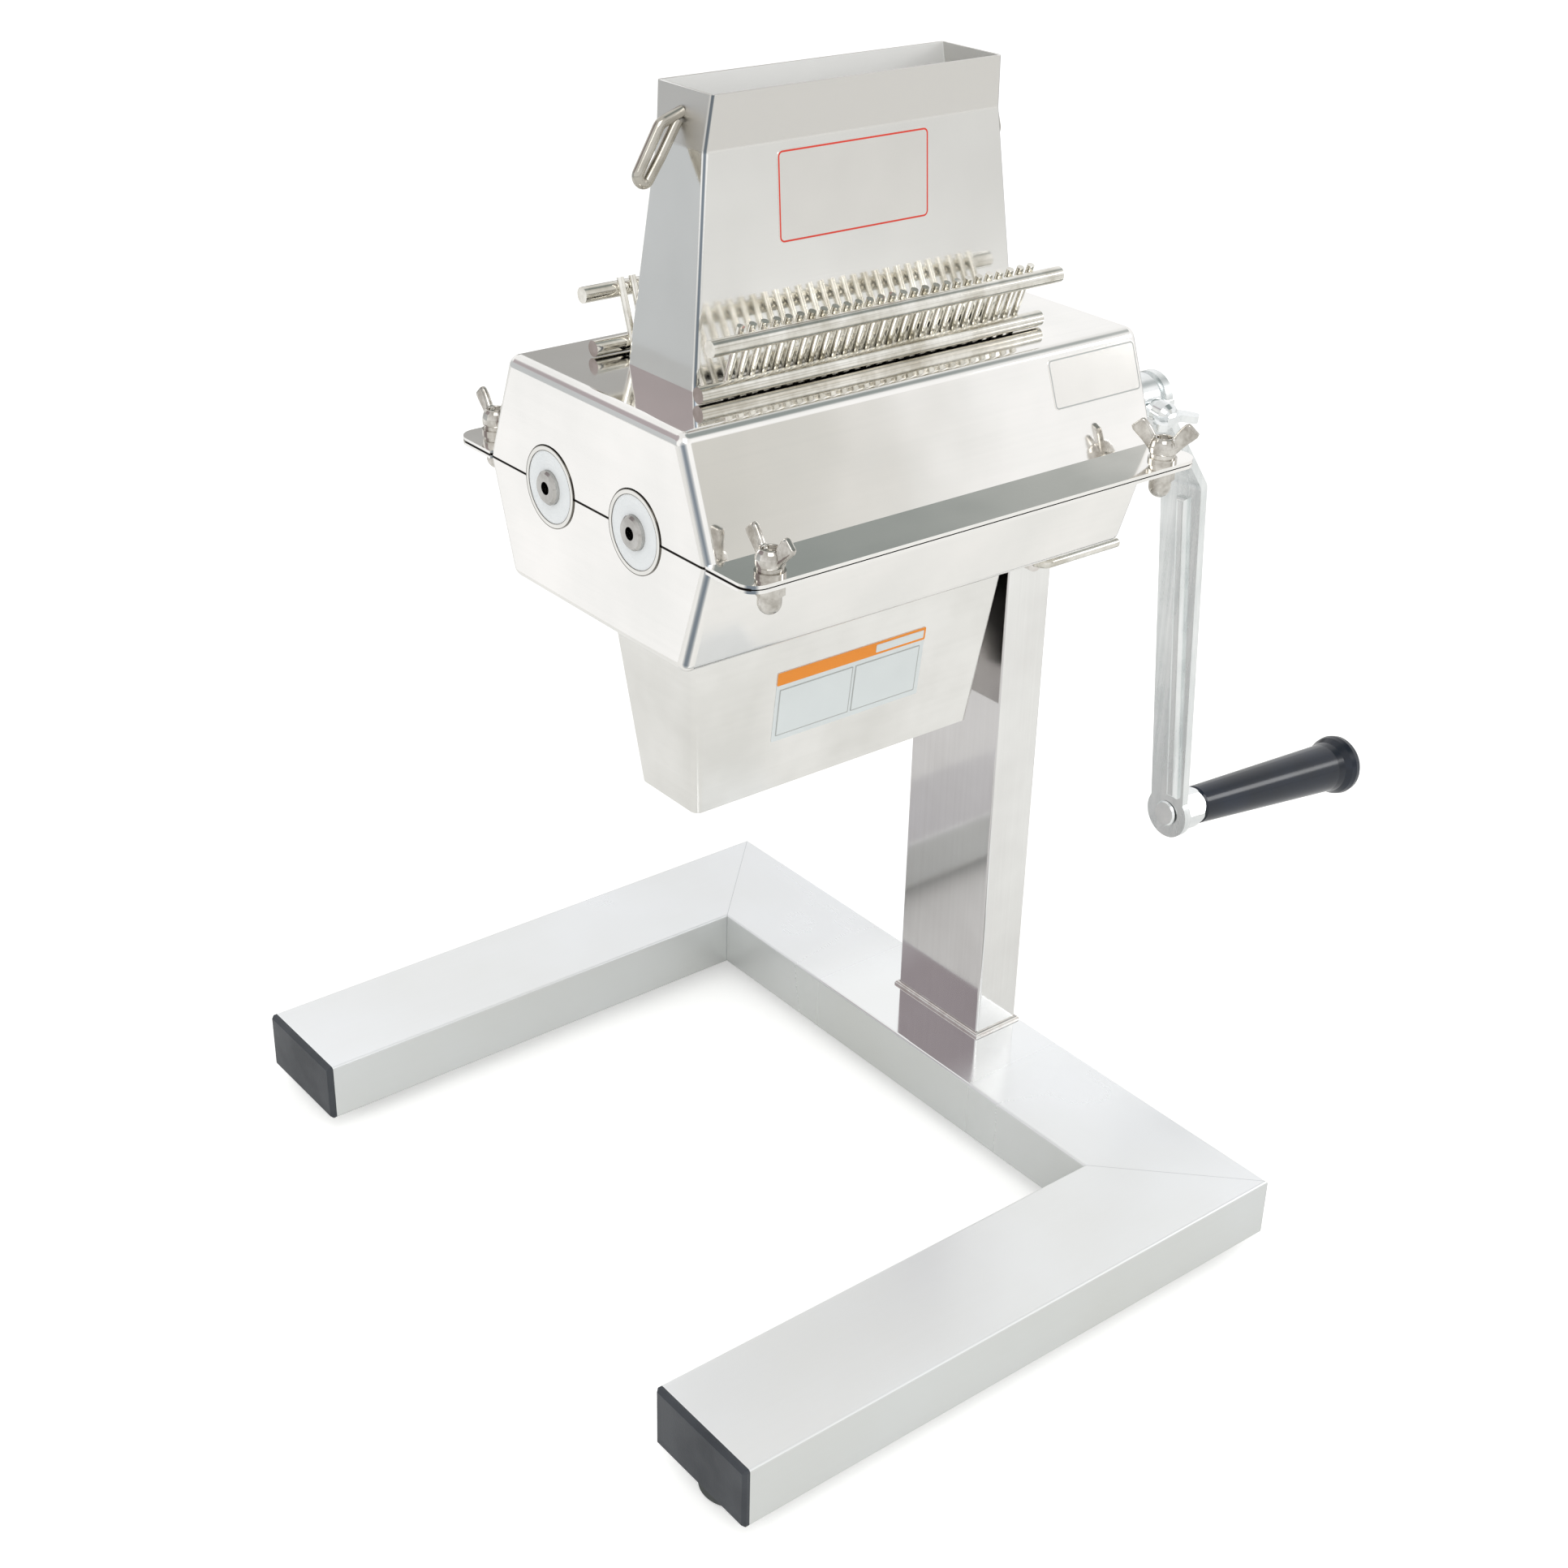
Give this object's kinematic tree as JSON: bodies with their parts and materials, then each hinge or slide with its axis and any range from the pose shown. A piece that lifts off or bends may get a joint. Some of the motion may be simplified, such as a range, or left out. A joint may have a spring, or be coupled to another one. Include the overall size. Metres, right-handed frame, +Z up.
{
  "type": "hand cranked meat tenderizer",
  "caption": "Hand cranked meat tenderizer: a hopper and comb guides over bladed rollers in a split housing, on a post with a U shaped stand.",
  "frame": {"origin": "on the floor, under the middle of the whole machine, crank included", "axes": "+X towards the crank, -Y the front long side, +Z up"},
  "size_m": [0.4336, 0.33, 0.4337],
  "materials": {
    "satin_stainless": "satin stainless steel tube",
    "polished_stainless": "mirror polished stainless sheet",
    "bright_rod": "electropolished stainless rod",
    "fastener_steel": "nickel plated fasteners",
    "bearing_steel": "turned stainless",
    "roller_steel": "turned stainless",
    "blade_steel": "ground blade steel",
    "plated_steel": "bright chrome plating",
    "zinc_steel": "dull zinc plated forging",
    "nylon": "pale turned nylon",
    "nylon_spacer": "white moulded nylon",
    "moulded_plastic": "black moulded plastic",
    "grip_plastic": "black gloss plastic",
    "rubber": "black rubber"
  },
  "bodies": {
    "stand": {"base_arm_front": "satin_stainless", "base_arm_rear": "satin_stainless", "base_crossbar": "satin_stainless", "end_cap_front": "moulded_plastic", "end_cap_rear": "moulded_plastic", "foot_front_left": "rubber", "foot_rear_left": "rubber", "foot_front_right": "rubber", "foot_rear_right": "rubber", "foot_screws": "fastener_steel", "post_tube": "satin_stainless", "post_weld": "satin_stainless", "lock_boss": "satin_stainless"},
    "lock_screw": {"lock_screw": "fastener_steel"},
    "head": {"lower_housing": "polished_stainless", "discharge_chute": "polished_stainless", "head_spigot": "polished_stainless", "clamp_bolts": "fastener_steel", "dome_nuts": "fastener_steel", "bearing_collar_front_left": "bearing_steel", "bearing_collar_front_right": "bearing_steel", "bearing_collar_rear_left": "bearing_steel", "bearing_collar_rear_right": "bearing_steel", "bearing_bush_front_left": "nylon", "bearing_bush_front_right": "nylon", "bearing_bush_rear_left": "nylon", "bearing_bush_rear_right": "nylon"},
    "upper_housing": {"upper_housing": "polished_stainless", "hopper": "polished_stainless", "hopper_loop_left": "bright_rod", "hopper_loop_right": "bright_rod", "flat_washers": "fastener_steel", "spring_washers": "fastener_steel"},
    "front_comb": {"front_comb_top_rod": "bright_rod", "front_comb_lower_rod": "bright_rod", "front_comb_fingers": "bright_rod"},
    "rear_comb": {"rear_comb_top_rod": "bright_rod", "rear_comb_lower_rod": "bright_rod", "rear_comb_fingers": "bright_rod"},
    "crank_roller": {"front_shaft": "roller_steel", "front_blades": "blade_steel", "front_spacers": "nylon_spacer", "front_gear": "roller_steel", "front_sleeve": "nylon_spacer", "crank_hub": "plated_steel", "crank_arm": "zinc_steel", "grip_spindle": "plated_steel", "spindle_nut": "plated_steel"},
    "rear_roller": {"rear_shaft": "roller_steel", "rear_blades": "blade_steel", "rear_spacers": "nylon_spacer", "rear_gear": "roller_steel", "rear_sleeve": "nylon_spacer"},
    "thumb_screw": {"thumb_screw": "plated_steel"},
    "grip": {"crank_grip": "grip_plastic"},
    "wing_nut_front_left": {"wing_nut_front_left": "fastener_steel"},
    "wing_nut_front_right": {"wing_nut_front_right": "fastener_steel"},
    "wing_nut_rear_left": {"wing_nut_rear_left": "fastener_steel"},
    "wing_nut_rear_right": {"wing_nut_rear_right": "fastener_steel"}
  },
  "joints": [
    {"name": "head_lift", "type": "slide", "parent": "stand", "child": "head", "axis": [0, 0, 1], "range_m": [0, 0.048]},
    {"name": "lock_turn", "type": "hinge", "parent": "stand", "child": "lock_screw", "pos_m": [0.0242, -0.025, 0.247], "axis": [0, 1, 0], "range_deg": [0, 90]},
    {"name": "cover_lift", "type": "slide", "parent": "head", "child": "upper_housing", "axis": [0, 0, 1], "range_m": [0, 0.05]},
    {"name": "front_comb_lift", "type": "slide", "parent": "upper_housing", "child": "front_comb", "axis": [0, -0.342, 0.9397], "range_m": [0, 0.055]},
    {"name": "rear_comb_lift", "type": "slide", "parent": "upper_housing", "child": "rear_comb", "axis": [0, 0.342, 0.9397], "range_m": [0, 0.055]},
    {"name": "crank_turn", "type": "hinge", "parent": "head", "child": "crank_roller", "pos_m": [0, -0.025, 0.3008], "axis": [1, 0, 0], "continuous": true},
    {"name": "rear_roller_turn", "type": "hinge", "parent": "head", "child": "rear_roller", "pos_m": [0, 0.025, 0.3008], "axis": [1, 0, 0], "continuous": true},
    {"name": "thumb_screw_turn", "type": "hinge", "parent": "crank_roller", "child": "thumb_screw", "pos_m": [0.0727, -0.025, 0.3008], "axis": [0, -0.9945, -0.1045], "continuous": true},
    {"name": "grip_spin", "type": "hinge", "parent": "crank_roller", "child": "grip", "pos_m": [0.10295, -0.03937, 0.11817], "axis": [0.9954, -0.0075, -0.0956], "continuous": true},
    {"name": "wing_nut_front_left_turn", "type": "hinge", "parent": "upper_housing", "child": "wing_nut_front_left", "pos_m": [-0.1458, -0.0798, 0.3068], "axis": [0, 0, 1], "continuous": true},
    {"name": "wing_nut_front_right_turn", "type": "hinge", "parent": "upper_housing", "child": "wing_nut_front_right", "pos_m": [0.0302, -0.0798, 0.3068], "axis": [0, 0, 1], "continuous": true},
    {"name": "wing_nut_rear_left_turn", "type": "hinge", "parent": "upper_housing", "child": "wing_nut_rear_left", "pos_m": [-0.1458, 0.0798, 0.3068], "axis": [0, 0, 1], "continuous": true},
    {"name": "wing_nut_rear_right_turn", "type": "hinge", "parent": "upper_housing", "child": "wing_nut_rear_right", "pos_m": [0.0302, 0.0798, 0.3068], "axis": [0, 0, 1], "continuous": true}
  ],
  "couplings": [
    {"joint": "rear_roller_turn", "follows": "crank_turn", "ratio": -1}
  ]
}
